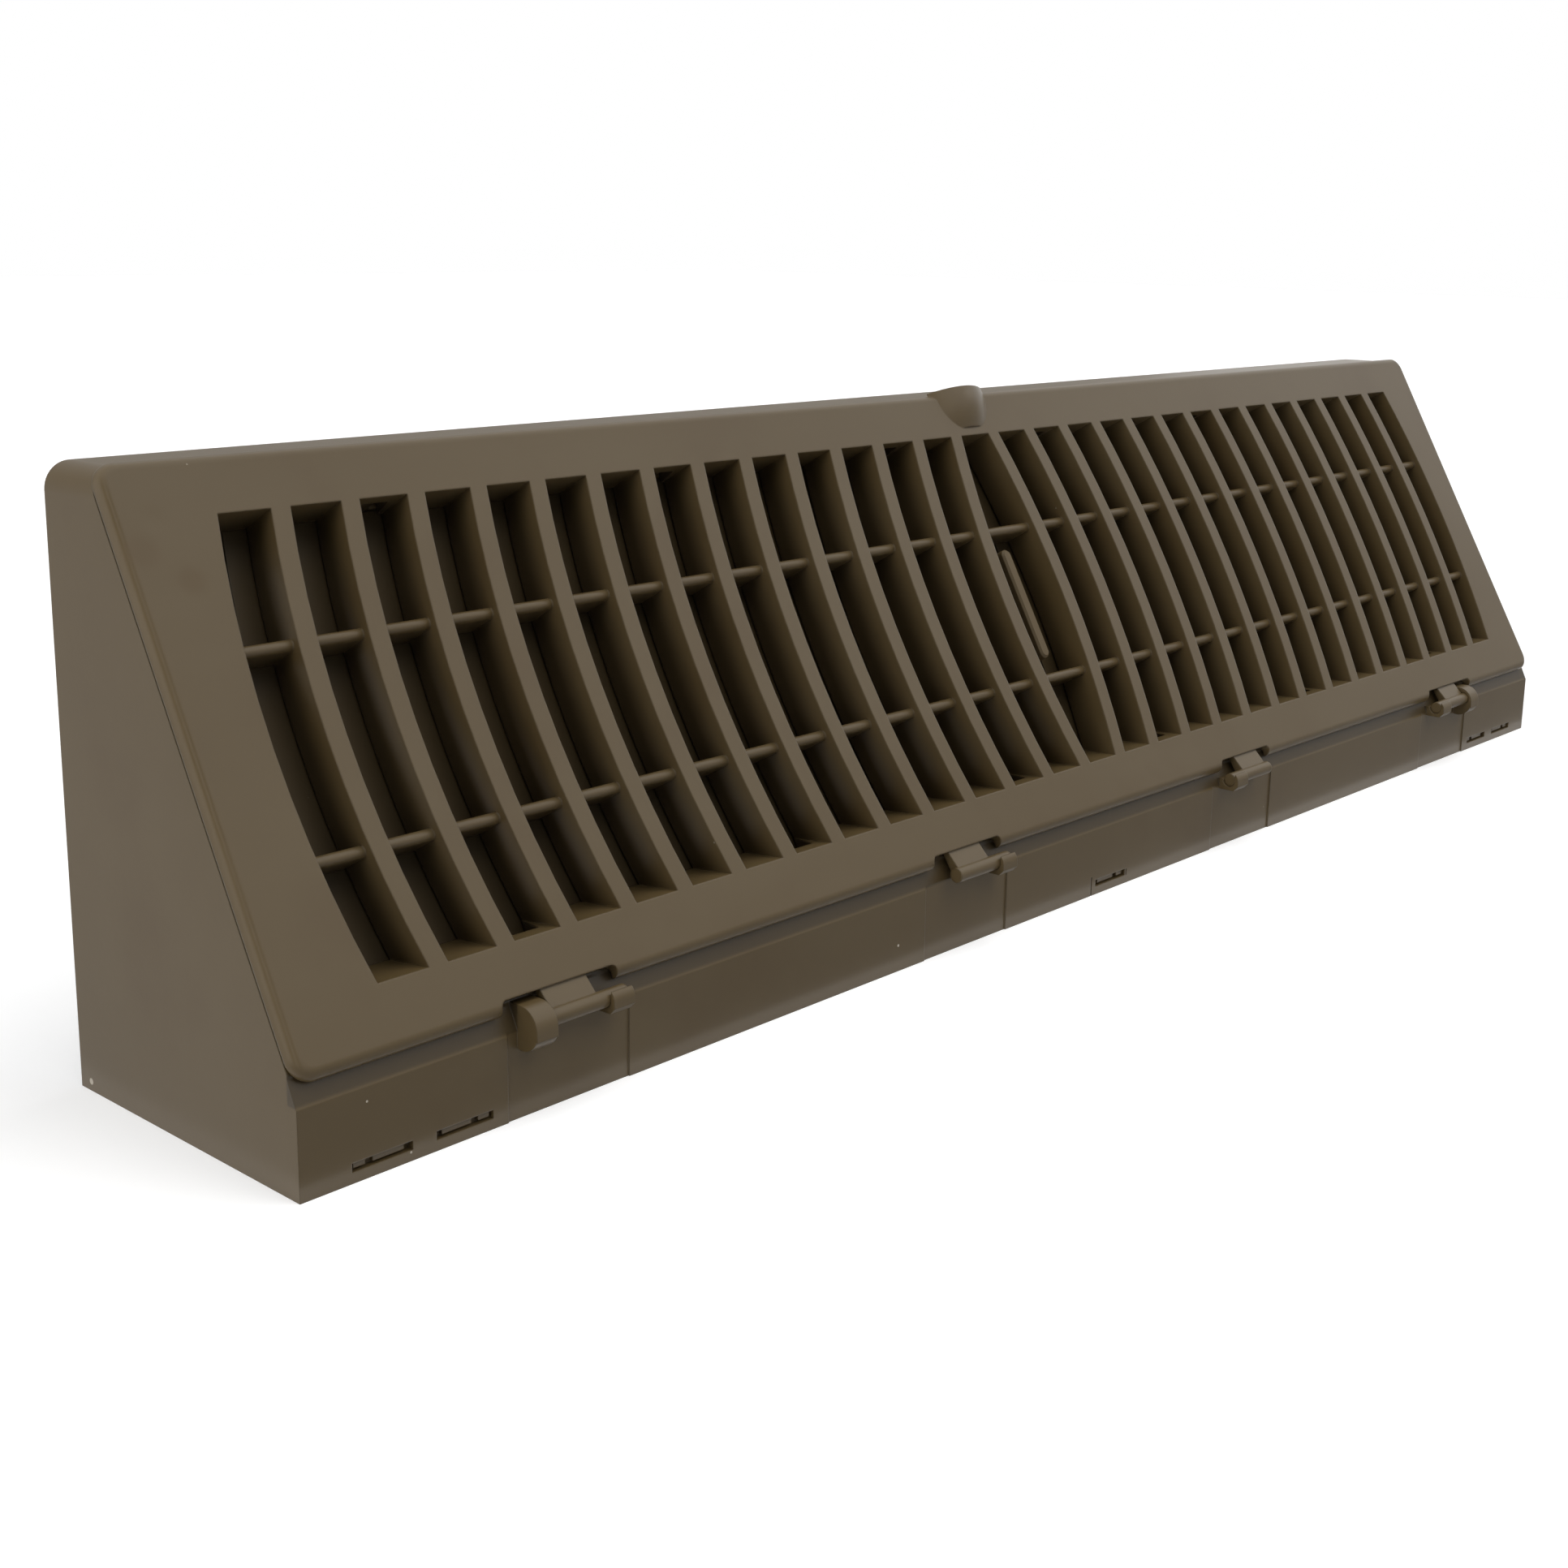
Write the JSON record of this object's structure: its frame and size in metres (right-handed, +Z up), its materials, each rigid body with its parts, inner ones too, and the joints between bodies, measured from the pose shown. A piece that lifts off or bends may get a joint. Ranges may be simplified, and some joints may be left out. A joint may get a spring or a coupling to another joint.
{
  "type": "baseboard register",
  "caption": "Moulded baseboard register with a sloping grille cover hinged at its foot, bowed fins, and a sliding shutter behind them worked by a thumb blade.",
  "frame": {"origin": "under the middle of the register's box, at floor level", "axes": "+X along the wall to the right as seen from the room, +Y towards the wall, +Z up"},
  "size_m": [0.4572, 0.0718, 0.1149],
  "materials": {
    "housing": "satin moulded plastic",
    "grille": "satin moulded plastic",
    "shutter": "satin moulded plastic"
  },
  "bodies": {
    "housing": {"housing": "housing"},
    "cover": {"face_grille": "grille"},
    "shutter": {"shutter": "shutter"}
  },
  "joints": [
    {"name": "cover_hinge", "type": "hinge", "parent": "housing", "child": "cover", "pos_m": [0, -0.0333, 0.0179], "axis": [1, 0, 0], "range_deg": [0, 120]},
    {"name": "shutter_slide", "type": "slide", "parent": "cover", "child": "shutter", "axis": [1, 0, 0], "range_m": [-0.00375, 0]}
  ]
}
